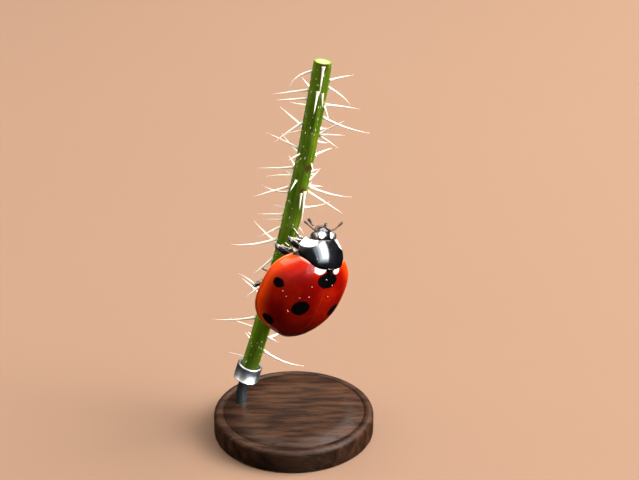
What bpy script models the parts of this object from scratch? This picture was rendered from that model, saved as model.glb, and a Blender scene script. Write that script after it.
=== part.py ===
"""A seven-spot ladybird climbing a cut length of plant stem, on a small display stand.

Life size. Design sizes are in millimetres and become metres at MM. The ladybird is modelled in its
own frame: +X runs forward, +Y to its left, +Z out of its back, with the origin in the middle of the
base of the wing cases, level with their side margins. The empty "ladybird_pose" then sets it on the
stem. World: +Z up, and the origin in the middle of the stand's underside.
"""

import math

import bmesh
import bpy
from mathutils import Euler, Vector

MM = 0.001
GAP = 0.05  # between pieces that meet; the animal is only 7.5 mm long
WALL = 0.5  # thickness of a shell plate

# Wing cases
CASE_LENGTH = 6.26
CASE_HALF_WIDTH = 3.05
CASE_HEIGHT = 2.30
WIDEST_AT = 0.44  # share of the length, from the front
TALLEST_AT = 0.40
FRONT_DROP = 0.19  # share of the height lost at the front edge
# Exponents of the dome's curves: its cross-section, its outline seen from above and its ridge
SECTION_SIDE, SECTION_TOP = 2.3, 1.9
SHOULDER_SIDE, SHOULDER_TOP = 3.3, 2.35
TAIL_SIDE, TAIL_TOP = 2.2, 1.27
RIDGE_SIDE, RIDGE_TOP = 2.15, 2.15
SHOULDER_REACH = 0.478  # the front outline would close this share ahead of the widest place
DOME_BACK = 0.998  # share of the length where the dome's last ring closes it
ROOM_FRONT = -0.12  # the room under the dome runs out through its front, as a share
ROOM_BACK = 0.995

SCUTELLUM_HALF_WIDTH, SCUTELLUM_LENGTH = 0.30, 0.56
SCUTELLUM_FRONT, SCUTELLUM_BOTTOM = -0.06, 1.58
SCUTELLUM_TOP_POINT, SCUTELLUM_TOP_FACING = (0, 0, 2.02), (-0.42, 0, 0.907)
ABOVE_SHELL = 3.2

# Trunk under the wing cases
WAIST = -2.5  # where the thorax meets the abdomen
BELLY_DEPTH = 0.66
BELLY_SQUARENESS = 0.8
THORAX_STATIONS = ((-0.16, 0.52), (-0.7, 0.60), (-1.3, BELLY_DEPTH), (-1.9, BELLY_DEPTH))  # x, depth
THORAX_BEVEL_POINT, THORAX_BEVEL_FACING = (-0.2, 0, 1.36), (0.6, 0, 0.8)
ABDOMEN_LENGTH = 0.985  # share of the room's length
ABDOMEN_RISE = 0.9  # share of the belly's depth lost at the tail

# Pronotum: its centre line drops steeply to the head
PRONOTUM_REAR = Vector((GAP, 0, 1.89))
PRONOTUM_FRONT = Vector((1.28, 0, 0.61))
PRONOTUM_CROWN = 0.23  # bulge of the centre line over its chord
PRONOTUM_WALL = 0.45
PRONOTUM_TRIM = 0.02  # its rear edge is cut upright this far in
PRONOTUM_SIDE, PRONOTUM_TOP, PRONOTUM_SWEEP = 2.3, 1.75, 2.2  # exponents of its curve from side to side
# Trunk under the pronotum: x, centre height, half width and half height of its rings
PROTHORAX_RINGS = (
    (-0.02, 0.34, 1.02, 0.94),
    (0.25, 0.18, 0.98, 0.80),
    (0.50, -0.02, 0.82, 0.58),
    (0.80, -0.22, 0.60, 0.34),
)

# Head: the face plane starts at the pronotum's front edge
FACE_SLOPE = math.radians(52)
FACE_DOWN = Vector((math.cos(FACE_SLOPE), 0, -math.sin(FACE_SLOPE)))
FACE_OUT = Vector((math.sin(FACE_SLOPE), 0, math.cos(FACE_SLOPE)))
HEAD_SIZE = Vector((0.50, 0.86, 0.50))  # half sizes: down the face, across, out of it
HEAD_DOWN, HEAD_OUT = 0.40, -0.42  # centre of the head, from the pronotum's front edge
HEAD_TOP = 0.06  # the head ends here, under the pronotum
HEAD_SIDE = 0.64  # the head is flat here, under the eye
CHIN_TAPER = 0.12
NECK_DEPTH = 0.72
EYE_SIZE = Vector((0.30, 0.28, 0.28))
EYE_DOWN, EYE_OUT = 0.34, -0.36

# Antennae and palps: points on the left side and the radius at each
ANTENNA_POINTS = ((1.72, 0.56, -0.06), (1.80, 0.84, -0.14), (1.88, 1.12, -0.30), (1.94, 1.38, -0.48))
ANTENNA_RADII = (0.19, 0.19, 0.19, 0.19, 0.19, 0.19, 0.21, 0.24, 0.24, 0.16)
PALP_POINTS = ((1.40, 0.36, -0.86), (1.54, 0.50, -0.90), (1.66, 0.68, -0.90))
PALP_RADII = (0.17, 0.20, 0.22)

# Stem and stand
STEM_RADIUS = 0.57
STEM_DEPTH = 1.0  # the stem bends in the plane y = STEM_DEPTH
STEM_BOTTOM, STEM_TOP = 3.6, 24.9
STEM_FOOT, STEM_LEAN, STEM_BEND = -4.19, 0.335, -0.00364  # x = FOOT + LEAN z + BEND z^2
BASE_RADIUS, BASE_HEIGHT, BASE_ROUND, BASE_CHAMFER = 5.2, 1.5, 0.3, 0.12
ROD_RADIUS = 0.35
ROD_SETBACK = 0.34  # the rod's foot stands this far behind its top
ROD_FOOT_RISE = Vector((0.02, 0, 0.25))
ROD_TOP_RUN = 0.8
COLLAR_WALL, COLLAR_LENGTH, COLLAR_FLOOR = 0.2, 1.1, 0.3

# Pose of the ladybird's frame in the world
POSE_PLACE = Vector((1.40, -1.45, 13.59))
POSE_TURN = Euler((math.radians(136.8), math.radians(-67.8), math.radians(-12.8)), "XYZ")

# Joints of the legs, in the ladybird's frame: the left side's hips and knees, mirrored for the right
HIPS_AND_KNEES = {
    "front": ((-0.16, 0.52, -0.94), (0.42, 1.69, -0.76)),
    "middle": ((-1.00, 0.80, -1.00), (-0.27, 2.26, -0.94)),
    "hind": ((-2.45, 0.90, -1.00), (-3.36, 2.56, -1.02)),
}
# The ankles and toes differ from side to side. The left hind foot holds a hair of the stem.
FEET = {
    "front_left": ((-0.04, 0.60, -1.62), (-0.06, 0.12, -2.42)),
    "middle_left": ((-0.84, 0.92, -1.66), (-1.00, 0.46, -2.36)),
    "hind_left": ((-2.68, 1.32, -1.76), (-2.15, 2.32, -1.22)),
    "front_right": ((-0.42, -0.82, -1.64), (-0.40, -0.38, -2.26)),
    "middle_right": ((-1.00, -1.22, -1.76), (-1.26, -0.74, -2.28)),
    "hind_right": ((-3.10, -1.24, -1.62), (-2.96, -0.86, -2.02)),
}
FEMUR_RADIUS, TIBIA_RADIUS, TARSUS_RADIUS = 0.27, 0.23, 0.21
KNEE_STEP = Vector((0, 0, -0.42))  # the tibia hangs this far under the end of the femur
KNEE_INSET = 0.15
TIBIA_SHORT = 0.02
ANKLE_STEP, ANKLE_DROP = 0.13, 0.32  # the tarsus starts this far past the tibia, and below it
JOINT_SLIM = 0.62  # share of a segment's radius left at its ends
TARSUS_SLIM = 0.7

BLACK = ("black_shell", (0.006, 0.006, 0.007), 0.25, 0.0)
RED = ("red_shell", (0.55, 0.025, 0.006), 0.2, 0.0)
EYE = ("eye", (0.02, 0.014, 0.012), 0.3, 0.0)
FEELER = ("feeler", (0.11, 0.035, 0.015), 0.45, 0.0)
LEG = ("leg", (0.01, 0.009, 0.008), 0.4, 0.0)
STEM_GREEN = ("stem", (0.12, 0.22, 0.03), 0.5, 0.0)
STEEL = ("rod_steel", (0.6, 0.6, 0.6), 0.25, 1.0)
WOOD = ("base_wood", (0.07, 0.03, 0.014), 0.4, 0.0)


def clear_scene():
    for old in list(bpy.data.objects):
        bpy.data.objects.remove(old, do_unlink=True)


def new_collection(name):
    made = bpy.data.collections.new(name)
    bpy.context.scene.collection.children.link(made)
    return made


def material(look):
    name, colour, roughness, metallic = look
    found = bpy.data.materials.get(name)
    if found:
        return found
    made = bpy.data.materials.new(name)
    made.use_nodes = True
    shader = made.node_tree.nodes["Principled BSDF"]
    shader.inputs["Base Color"].default_value = (*colour, 1)
    shader.inputs["Roughness"].default_value = roughness
    shader.inputs["Metallic"].default_value = metallic
    return made


def add_object(name, data, look, parent=None, collection=None):
    made = bpy.data.objects.new(name, data)
    (collection or PARTS).objects.link(made)
    if look:
        data.materials.append(material(look))
    made.parent = parent
    return made


def mesh_from(bm, name):
    """Turns a bmesh in millimetres into a mesh in metres, with its faces pointing out."""
    bmesh.ops.scale(bm, vec=(MM, MM, MM), verts=bm.verts)
    bmesh.ops.recalc_face_normals(bm, faces=bm.faces)
    mesh = bpy.data.meshes.new(name)
    bm.to_mesh(mesh)
    bm.free()
    mesh.shade_smooth()
    mesh.set_sharp_from_angle(angle=math.radians(40))
    return mesh


def loft(rings):
    """Skins closed rings of equal length, one after another, and closes both ends."""
    bm = bmesh.new()
    rows = [[bm.verts.new(point) for point in ring] for ring in rings]
    for row, following in zip(rows, rows[1:]):
        for i in range(len(row)):
            j = (i + 1) % len(row)
            bm.faces.new((row[i], row[j], following[j], following[i]))
    bm.faces.new(rows[0])
    bm.faces.new(reversed(rows[-1]))
    return bm


def trim(bm, point, outward):
    """Cuts away what lies beyond a plane and closes the cut."""
    geometry = bm.verts[:] + bm.edges[:] + bm.faces[:]
    cut = bmesh.ops.bisect_plane(
        bm, geom=geometry, plane_co=point, plane_no=outward, clear_outer=True, dist=1e-6
    )
    rim = [e for e in cut["geom_cut"] if isinstance(e, bmesh.types.BMEdge)]
    bmesh.ops.contextual_create(bm, geom=rim)


def tube(name, points, radii, look, parent, sides=3):
    """A round bar through points, with a radius at each of them and flat closed ends."""
    curve = bpy.data.curves.new(name, "CURVE")
    curve.dimensions = "3D"
    curve.bevel_depth = MM
    curve.bevel_resolution = sides
    curve.use_fill_caps = True
    spline = curve.splines.new("POLY")
    spline.points.add(len(points) - 1)
    for control, point, radius in zip(spline.points, points, radii):
        control.co = (*(Vector(point) * MM), 1)
        control.radius = radius
    return add_object(name, curve, look, parent)


def bend(points, steps):
    """Points along a smooth curve through the given ones (Catmull-Rom)."""
    knots = [Vector(p) for p in points]
    knots = [knots[0] * 2 - knots[1], *knots, knots[-1] * 2 - knots[-2]]
    path = []
    for a, b, c, d in zip(knots, knots[1:], knots[2:], knots[3:]):
        square = 2 * a - 5 * b + 4 * c - d
        cube = 3 * b - a - 3 * c + d
        for k in range(steps):
            t = k / steps
            path.append((2 * b + (c - a) * t + square * t**2 + cube * t**3) / 2)
    return [*path, knots[-2]]


# ---- Wing cases and trunk -------------------------------------------------------------------


def half_width(t, full):
    """Half width of the dome at a share t of its length."""
    if t < WIDEST_AT:
        return full * (1 - ((WIDEST_AT - t) / SHOULDER_REACH) ** SHOULDER_SIDE) ** (1 / SHOULDER_TOP)
    return full * (1 - ((t - WIDEST_AT) / (1 - WIDEST_AT)) ** TAIL_SIDE) ** (1 / TAIL_TOP)


def ridge_height(t, full):
    """Height of the dome's middle line at a share t of its length."""
    if t < TALLEST_AT:
        return full * (1 - FRONT_DROP * ((TALLEST_AT - t) / TALLEST_AT) ** 2)
    return full * (1 - ((t - TALLEST_AT) / (1 - TALLEST_AT)) ** RIDGE_SIDE) ** (1 / RIDGE_TOP)


def arch(width, height, start, stop, count):
    """Points (y, z) over the dome's cross-section, from the share start of its half width to stop."""
    points = []
    for i in range(count):
        angle = math.pi / 2 * (start + (stop - start) * i / (count - 1))
        share = math.sin(angle)
        rise = max(0.0, 1 - abs(share) ** SECTION_SIDE) ** (1 / SECTION_TOP)
        points.append((width * share, height * rise))
    return points


def shares(first, last, count):
    """Shares of the length, closer together towards both ends of the dome."""
    turn = [math.acos(1 - 2 * first), math.acos(1 - 2 * last)]
    angles = [turn[0] + (turn[1] - turn[0]) * i / (count - 1) for i in range(count)]
    return [(1 - math.cos(a)) / 2 for a in angles]


def dome_cutter():
    """The room under the wing cases, open at the front and below."""
    length = CASE_LENGTH - WALL
    rings = []
    for t in (ROOM_FRONT, *shares(0.0, ROOM_BACK, 12)):
        at = max(t, 0.0)
        w = half_width(at, CASE_HALF_WIDTH - WALL)
        h = ridge_height(at, CASE_HEIGHT - WALL)
        x = -length * t
        over = arch(w, h, -1, 1, 17)
        rings.append([(x, -w, -1), *[(x, y, z) for y, z in over], (x, w, -1)])
    cutter = add_object("room_cutter", mesh_from(loft(rings), "room_cutter"), None, POSE, CUTTERS)
    hide(cutter)
    return cutter


def hide(cutter):
    cutter.hide_render = True
    cutter.display_type = "WIRE"


def scutellum_corners(grow):
    """The shield between the wing-case bases, seen from above, grown by a clearance."""
    half = SCUTELLUM_HALF_WIDTH + grow
    return [(0.3, half), (-0.02, half), (-SCUTELLUM_LENGTH - 2 * grow, 0.0)]


def prism(outline, low, high):
    """A straight prism over a mirrored outline (x, y), between two heights."""
    side = [*outline, *[(x, -y) for x, y in reversed(outline) if y]]
    return loft([[(x, y, low) for x, y in side], [(x, y, high) for x, y in side]])


def box_cutter(name, low, high):
    low, high = Vector(low) * MM, Vector(high) * MM
    bm = bmesh.new()
    bmesh.ops.create_cube(bm, size=1.0)
    size = high - low
    bmesh.ops.scale(bm, vec=size / MM, verts=bm.verts)
    bmesh.ops.translate(bm, vec=(low + high) / 2 / MM, verts=bm.verts)
    cutter = add_object(name, mesh_from(bm, name), None, POSE, CUTTERS)
    hide(cutter)
    return cutter


def cut_with(target, cutter):
    modifier = target.modifiers.new(f"cut_{cutter.name}", "BOOLEAN")
    modifier.operation = "DIFFERENCE"
    modifier.solver = "EXACT"
    modifier.object = cutter


def wing_cases():
    room = dome_cutter()
    notch_mesh = mesh_from(prism(scutellum_corners(GAP), 1.2, ABOVE_SHELL), "scutellum_cutter")
    notch = add_object("scutellum_cutter", notch_mesh, None, POSE, CUTTERS)
    hide(notch)
    for side, name in ((1, "elytron_left"), (-1, "elytron_right")):
        rings = []
        for t in shares(0.0, DOME_BACK, 17):
            w = half_width(t, CASE_HALF_WIDTH) - GAP / 2
            over = arch(w, ridge_height(t, CASE_HEIGHT), 0, 1, 11)
            x = -CASE_LENGTH * t
            seam = side * GAP / 2
            rings.append([(x, seam, 0), *[(x, seam + side * y, z) for y, z in over]])
        shell = add_object(name, mesh_from(loft(rings), name), RED, POSE)
        cut_with(shell, room)
        cut_with(shell, notch)


def scutellum():
    bm = prism(scutellum_corners(0.0), SCUTELLUM_BOTTOM, ABOVE_SHELL)
    trim(bm, SCUTELLUM_TOP_POINT, SCUTELLUM_TOP_FACING)
    trim(bm, (SCUTELLUM_FRONT, 0, 0), (1, 0, 0))
    add_object("scutellum", mesh_from(bm, "scutellum"), BLACK, POSE)


def trunk_ring(x, belly):
    """A cross-section of the trunk: the room under the wing cases above, the belly below."""
    clear = WALL + GAP
    t = -x / (CASE_LENGTH - clear)
    w = half_width(t, CASE_HALF_WIDTH - clear)
    over = arch(w, ridge_height(t, CASE_HEIGHT - clear), -1, 1, 13)
    under = []
    for i in range(1, 8):
        angle = math.pi * i / 8
        under.append((x, w * math.cos(angle), -belly * math.sin(angle) ** BELLY_SQUARENESS))
    return [*[(x, y, z) for y, z in over], *under]


def trunk():
    stations = [*THORAX_STATIONS, (WAIST + GAP / 2, BELLY_DEPTH)]
    bm = loft([trunk_ring(x, depth) for x, depth in stations])
    trim(bm, THORAX_BEVEL_POINT, THORAX_BEVEL_FACING)
    add_object("thorax", mesh_from(bm, "thorax"), BLACK, POSE)
    run = (CASE_LENGTH - WALL - GAP) * ABDOMEN_LENGTH + WAIST
    rings = []
    for i in range(9):
        share = i / 8
        x = WAIST - GAP / 2 - run * math.sin(math.pi / 2 * share)
        rings.append(trunk_ring(x, BELLY_DEPTH * (1 - ABDOMEN_RISE * share**3)))
    add_object("abdomen", mesh_from(loft(rings), "abdomen"), BLACK, POSE)


# ---- Pronotum, neck and head ----------------------------------------------------------------


def centre_line(u):
    """The pronotum's ridge, from its rear edge (u = 0) to its front edge (u = 1)."""
    chord = PRONOTUM_FRONT - PRONOTUM_REAR
    outward = Vector((-chord.z, 0, chord.x)).normalized()
    return PRONOTUM_REAR + chord * u + outward * (PRONOTUM_CROWN * 4 * u * (1 - u))


def side_line(u):
    """The pronotum's left margin, from its hind corner to its front corner beside the eye."""
    x = 0.10 + 0.94 * u**1.1
    y = 1.57 + 0.41 * u - 0.92 * u**2.4
    z = 0.53 - 0.66 * u**0.9
    return Vector((x, y, z))


def pronotum_point(u, v):
    """A point of the pronotum's surface: u runs forward and v from the right margin to the left."""
    ridge, margin = centre_line(u), side_line(u)
    fall = 1 - (1 - abs(v) ** PRONOTUM_SIDE) ** (1 / PRONOTUM_TOP)
    x = ridge.x + (margin.x - ridge.x) * abs(v) ** PRONOTUM_SWEEP
    return Vector((x, margin.y * v, ridge.z + (margin.z - ridge.z) * fall))


def pronotum():
    bm = bmesh.new()
    rows = []
    for i in range(9):
        across = [math.sin(math.pi / 2 * (j / 8 - 1)) for j in range(17)]
        rows.append([bm.verts.new(pronotum_point(i / 8, v)) for v in across])
    for row, following in zip(rows, rows[1:]):
        for j in range(len(row) - 1):
            bm.faces.new((row[j], row[j + 1], following[j + 1], following[j]))
    mesh = mesh_from(bm, "pronotum")
    plate = add_object("pronotum", mesh, BLACK, POSE)
    if mesh.polygons[len(mesh.polygons) // 2].normal.z < 0:
        mesh.flip_normals()
    solid = plate.modifiers.new("thickness", "SOLIDIFY")
    solid.thickness = PRONOTUM_WALL * MM
    solid.offset = -1
    cut_with(plate, box_cutter("pronotum_rear_cutter", (-3, -3, -1), (GAP + PRONOTUM_TRIM, 3, 4)))


def ellipse_ring(x, centre_z, half_y, half_z, count=16):
    angles = [2 * math.pi * i / count for i in range(count)]
    return [(x, half_y * math.cos(a), centre_z + half_z * math.sin(a)) for a in angles]


def prothorax():
    """The trunk under the pronotum, which carries the head and the front legs."""
    bm = loft([ellipse_ring(*ring) for ring in PROTHORAX_RINGS])
    trim(bm, PRONOTUM_FRONT - FACE_OUT * (NECK_DEPTH + GAP), FACE_OUT)
    add_object("prothorax", mesh_from(bm, "prothorax"), BLACK, POSE)


def face_point(down, across, out):
    return PRONOTUM_FRONT + FACE_DOWN * down + Vector((0, across, 0)) + FACE_OUT * out


def head():
    bm = bmesh.new()
    bmesh.ops.create_uvsphere(bm, u_segments=20, v_segments=12, radius=1.0)
    for vert in bm.verts:
        down = HEAD_DOWN + vert.co.x * HEAD_SIZE.x
        across = vert.co.y * HEAD_SIZE.y * (1 - CHIN_TAPER * max(vert.co.x, 0))
        vert.co = face_point(down, across, HEAD_OUT + vert.co.z * HEAD_SIZE.z)
    trim(bm, face_point(HEAD_TOP, 0, 0), -FACE_DOWN)
    trim(bm, face_point(0, 0, -NECK_DEPTH), -FACE_OUT)
    for side in (1, -1):
        trim(bm, (0, side * HEAD_SIDE, 0), (0, side, 0))
    add_object("head", mesh_from(bm, "head"), BLACK, POSE)


def eyes():
    for side, name in ((1, "eye_left"), (-1, "eye_right")):
        bm = bmesh.new()
        bmesh.ops.create_uvsphere(bm, u_segments=14, v_segments=8, radius=1.0)
        for vert in bm.verts:
            spot = vert.co * EYE_SIZE
            vert.co = face_point(EYE_DOWN + spot.x, side * HEAD_SIDE + spot.y, EYE_OUT + spot.z)
        trim(bm, (0, side * (HEAD_SIDE + GAP), 0), (0, -side, 0))
        add_object(name, mesh_from(bm, name), EYE, POSE)


def feelers():
    for side, word in ((1, "left"), (-1, "right")):
        stalk = [(p.x, side * p.y, p.z) for p in bend(ANTENNA_POINTS, 3)]
        tube(f"antenna_{word}", stalk, ANTENNA_RADII, FEELER, POSE, 2)
        palp = [(x, side * y, z) for x, y, z in PALP_POINTS]
        tube(f"palp_{word}", palp, PALP_RADII, BLACK, POSE, 2)


# ---- Legs -----------------------------------------------------------------------------------


def spindle(name, start, end, radius, slim):
    """A leg segment: fullest in its middle and slimmer at its joints."""
    start, end = Vector(start), Vector(end)
    stations = (0.0, 0.12, 0.35, 0.65, 0.88, 1.0)
    middling = (1 + slim) / 2
    girths = (slim, middling, 1.0, 1.0, middling, slim)
    points = [start.lerp(end, s) for s in stations]
    tube(name, points, [radius * g for g in girths], LEG, POSE, 2)


def leg(name, ankle, toe):
    row, side = name.split("_")
    mirror = Vector((1, 1 if side == "left" else -1, 1))
    hip, knee = (Vector(p) * mirror for p in HIPS_AND_KNEES[row])
    ankle, toe = Vector(ankle), Vector(toe)
    spindle(f"femur_{name}", hip, knee, FEMUR_RADIUS, JOINT_SLIM)
    knee_below = knee + (hip - knee).normalized() * KNEE_INSET + KNEE_STEP
    along = (ankle - knee_below).normalized()
    spindle(f"tibia_{name}", knee_below, ankle - along * TIBIA_SHORT, TIBIA_RADIUS, JOINT_SLIM)
    down = (toe - ankle).normalized()
    foot = ankle + along * ANKLE_STEP + down * ANKLE_DROP
    spindle(f"tarsus_{name}", foot, toe, TARSUS_RADIUS, TARSUS_SLIM)


# ---- Stem and stand -------------------------------------------------------------------------


def stem_point(z):
    return Vector((STEM_FOOT + STEM_LEAN * z + STEM_BEND * z * z, STEM_DEPTH, z))


def stem_direction(z):
    return Vector((STEM_LEAN + 2 * STEM_BEND * z, 0, 1)).normalized()


def perch():
    count = 12
    heights = [STEM_BOTTOM + (STEM_TOP - STEM_BOTTOM) * i / (count - 1) for i in range(count)]
    tube("perch_stem", [stem_point(z) for z in heights], [STEM_RADIUS] * count, STEM_GREEN, None, 4)


def turned(name, profile, look, segments):
    """A shape turned about Z from a profile (radius, height) that runs down its outer side."""
    bm = bmesh.new()
    verts = [bm.verts.new((radius, 0, height)) for radius, height in profile]
    for a, b in zip(verts, verts[1:]):
        bm.edges.new((a, b))
    mesh = mesh_from(bm, name)
    made = add_object(name, mesh, look)
    screw = made.modifiers.new("turn", "SCREW")
    screw.steps = segments
    screw.render_steps = segments
    screw.use_merge_vertices = True
    screw.merge_threshold = 0.000001
    return made


def stand_base():
    profile = [(0, BASE_HEIGHT)]
    for degrees in (0, 30, 60, 90):
        angle = math.radians(degrees)
        radius = BASE_RADIUS - BASE_ROUND * (1 - math.sin(angle))
        profile.append((radius, BASE_HEIGHT - BASE_ROUND * (1 - math.cos(angle))))
    profile += [(BASE_RADIUS, BASE_CHAMFER), (BASE_RADIUS - BASE_CHAMFER, 0), (0, 0)]
    turned("stand_base", profile, WOOD, 40)


def stand_collar_and_rod():
    """A cup that holds the stem's foot, and the bent rod that carries it."""
    foot_point, axis = stem_point(STEM_BOTTOM), stem_direction(STEM_BOTTOM)
    inner = STEM_RADIUS + GAP
    outer = inner + COLLAR_WALL
    floor = -COLLAR_FLOOR - GAP
    top = floor + COLLAR_LENGTH
    profile = [(0, -GAP), (inner, -GAP), (inner, top), (outer, top), (outer, floor), (0, floor)]
    collar = turned("stand_collar", profile, STEEL, 20)
    collar.location = foot_point * MM
    collar.rotation_euler = Vector((0, 0, 1)).rotation_difference(axis).to_euler()

    under = foot_point + axis * (floor - GAP)
    lowest = Vector((under.x - ROD_SETBACK, STEM_DEPTH, BASE_HEIGHT + GAP))
    path = bend([lowest, lowest + ROD_FOOT_RISE, under - axis * ROD_TOP_RUN, under], 3)
    tube("stand_rod", path, [ROD_RADIUS] * len(path), STEEL, None, 3)


clear_scene()
PARTS = new_collection("ladybird_on_stem")
CUTTERS = new_collection("cutters")
POSE = bpy.data.objects.new("ladybird_pose", None)
PARTS.objects.link(POSE)
POSE.location = POSE_PLACE * MM
POSE.rotation_euler = POSE_TURN

wing_cases()
scutellum()
trunk()
pronotum()
prothorax()
head()
eyes()
feelers()
for leg_name, foot_points in FEET.items():
    leg(leg_name, *foot_points)
perch()
stand_base()
stand_collar_and_rod()
bpy.context.view_layer.update()
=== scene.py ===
"""Looks of a seven-spot ladybird on a cut plant stem, held by a small display stand.

Sizes are in millimetres and become metres at MM. The ladybird's pieces are modelled in its own frame:
+X runs forward, +Y to its left, +Z out of its back, with the origin in the middle of the base of the
wing cases. POSE sets that frame in the world, where +Z is up and the stand's underside is at z = 0.
"""

import math
import random

import bmesh
import bpy
import numpy as np
from mathutils import Euler, Matrix, Vector

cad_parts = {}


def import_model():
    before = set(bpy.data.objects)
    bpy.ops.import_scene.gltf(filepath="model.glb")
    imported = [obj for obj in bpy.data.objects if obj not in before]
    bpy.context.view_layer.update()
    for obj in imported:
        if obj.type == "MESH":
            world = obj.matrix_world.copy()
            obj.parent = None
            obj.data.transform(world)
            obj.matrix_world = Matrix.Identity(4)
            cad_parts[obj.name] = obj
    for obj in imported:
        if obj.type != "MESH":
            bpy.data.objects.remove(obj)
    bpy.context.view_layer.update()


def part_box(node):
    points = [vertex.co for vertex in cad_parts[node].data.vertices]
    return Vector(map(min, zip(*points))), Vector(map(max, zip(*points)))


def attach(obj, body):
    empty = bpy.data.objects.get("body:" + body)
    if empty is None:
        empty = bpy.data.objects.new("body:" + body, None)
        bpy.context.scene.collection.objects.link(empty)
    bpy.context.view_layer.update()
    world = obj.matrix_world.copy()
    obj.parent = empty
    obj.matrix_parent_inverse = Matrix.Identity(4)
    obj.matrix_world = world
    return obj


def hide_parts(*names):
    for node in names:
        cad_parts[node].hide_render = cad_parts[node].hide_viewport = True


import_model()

MM = 0.001
MERGE = 1e-4  # points of a plate that are closer than this become one
SIDES = ((1, "left"), (-1, "right"))
UP = Vector((0, 0, 1))
STILL = Matrix.Identity(4)
UV_NAME = "OFBake"
PLACE = "place"  # attribute that holds where on its piece a point lies
SPINDLE_STEPS = 12
SPINDLE_CAP, SPINDLE_END = 0.06, 0.12  # the round end's share of the length, its least share of the girth

# Pose of the ladybird's frame in the world
POSE_PLACE = Vector((1.40, -1.45, 13.59))
POSE_TURN = Euler((math.radians(136.8), math.radians(-67.8), math.radians(-12.8)), "XYZ")
POSE = Matrix.Translation(POSE_PLACE * MM) @ POSE_TURN.to_matrix().to_4x4()

# Wing cases
CASE_THICKNESS = 0.07
CASE_LENGTH = 6.26 - CASE_THICKNESS / 2
CASE_HALF_WIDTH = 3.05 - CASE_THICKNESS / 2
CASE_HEIGHT = 2.30 - CASE_THICKNESS / 2
WIDEST_AT, TALLEST_AT = 0.44, 0.40  # shares of the length, from the front
FRONT_DROP = 0.19
SECTION_SIDE, SECTION_TOP = 2.3, 1.9
SHOULDER_SIDE, SHOULDER_TOP, SHOULDER_REACH = 3.3, 2.35, 0.478
TAIL_SIDE, TAIL_TOP = 2.2, 1.27
RIDGE_SIDE, RIDGE_TOP = 2.15, 2.15
SEAM = 0.001  # half the slit between the wing cases
FLANGE = 0.07  # flat margin outside the dome
FRONT_REACH, FRONT_FADE = 0.24, 0.09  # the front edge curves this far forward beside the pronotum
FRONT_FROM, FRONT_RISE = 0.5, 0.35  # shares of the width where that curve starts and over which it rises
SHOULDER_CUT, CUT_FADE, CUT_POWER = 0.13, 0.25, 30  # its outer corner is rounded back
CASE_ROWS, CASE_COLUMNS, EDGE_STEPS = 64, 44, 6
BASE_LIFT, GUTTER_LIFT = 0.02, 0.018  # of the dome's foot and of the flat margin
EDGE_RADIUS, EDGE_SINK = 0.036, 0.005
UNDERFOLD, UNDERFOLD_LEAST = 0.46, 0.04  # width of the fold beneath: added at the front, least
FOLD_RISE = 0.10
NUDGE = 1e-3  # step for slopes, as a share of the length

SHIELD_HALF_WIDTH, SHIELD_LENGTH, SHIELD_THICKNESS = 0.30, 0.56, 0.09
SHIELD_FRONT = 0.10  # x of its front edge, under the pronotum
SHIELD_HEIGHT, SHIELD_CLIMB, SHIELD_CROWN = 1.84, 0.20, 0.05
SHIELD_CLEARANCE, SHIELD_POINT = 0.02, 0.004
DUST_PLACES = (
    (-1.90, 2.45), (-2.13, 2.23), (-1.98, 1.55), (-1.80, 1.02), (-3.02, 1.89), (-3.10, 1.83),
    (-0.23, 1.03), (-1.12, 1.03), (-0.60, 0.16), (-1.75, -0.35), (-0.98, -0.42),
)

# Spots beside the one at the scutellum: centre seen from above, half sizes (along, across, up), turn
SPOTS = (
    ((-1.58, 2.68), (0.31, 0.40, 0.36), 0),
    ((-2.69, 1.23), (0.55, 0.58, 0.60), 25),
    ((-4.42, 2.24), (0.48, 0.50, 0.40), -35),
    ((-1.58, -2.68), (0.31, 0.40, 0.36), 0),
    ((-3.00, -1.46), (0.44, 0.46, 0.60), -20),
    ((-4.50, -2.27), (0.48, 0.50, 0.40), 35),
)

# Trunk
THORAX_START, WAIST, ABDOMEN_END = -0.16, -2.5, -5.62
WAIST_OVERLAP = 0.01
CHEST_DEPTH, CHEST_SWELL, KEEL = 0.50, 0.16, 0.03
BELLY_DEPTH, BELLY_TAPER = 0.66, 0.88
SEGMENTS, SEGMENT_STEP, SEGMENT_SLOPE = 6, 0.05, 0.02
TRUNK_SIDES = 48

# Pronotum
PRONOTUM_THICKNESS = 0.10
PRONOTUM_REAR = Vector((0.02, 0, 1.87))
PRONOTUM_FRONT = Vector((1.28, 0, 0.61))
PRONOTUM_CROWN = 0.20
PRONOTUM_SIDE, PRONOTUM_TOP, PRONOTUM_SWEEP = 2.3, 1.75, 2.2
PRONOTUM_FLANGE = 0.07
PRONOTUM_ROWS, PRONOTUM_COLUMNS = 40, 72
PRONOTUM_RIM = ((0.4, 0.0), (0.7, 0.018), (0.9, 0.026), (1.0, 0.020))  # share of the flange, lift
# x, height of the centre, half width, half height
PROTHORAX_RINGS = (
    (-0.02, 0.26, 0.90, 0.86),
    (0.25, 0.14, 0.90, 0.76),
    (0.50, -0.02, 0.82, 0.58),
    (0.80, -0.22, 0.60, 0.34),
)

# Head, in the plane of its face: down the face, across it, out of it
FACE_SLOPE = math.radians(52)
FACE_DOWN = Vector((math.cos(FACE_SLOPE), 0, -math.sin(FACE_SLOPE)))
FACE_OUT = Vector((math.sin(FACE_SLOPE), 0, math.cos(FACE_SLOPE)))
HEAD_CENTRE, HEAD_SIZE = Vector((0.40, 0, -0.42)), Vector((0.52, 0.76, 0.50))
HEAD_TAPER = 0.34
DENT_DEPTH, DENT_ACROSS, DENT_DOWN = 0.05, (0.45, 0.12), (0.55, 0.25)  # beside the antennae: place, reach
EYE_CENTRE, EYE_SIZE = Vector((0.34, 0.66, -0.34)), Vector((0.31, 0.27, 0.29))

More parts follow.
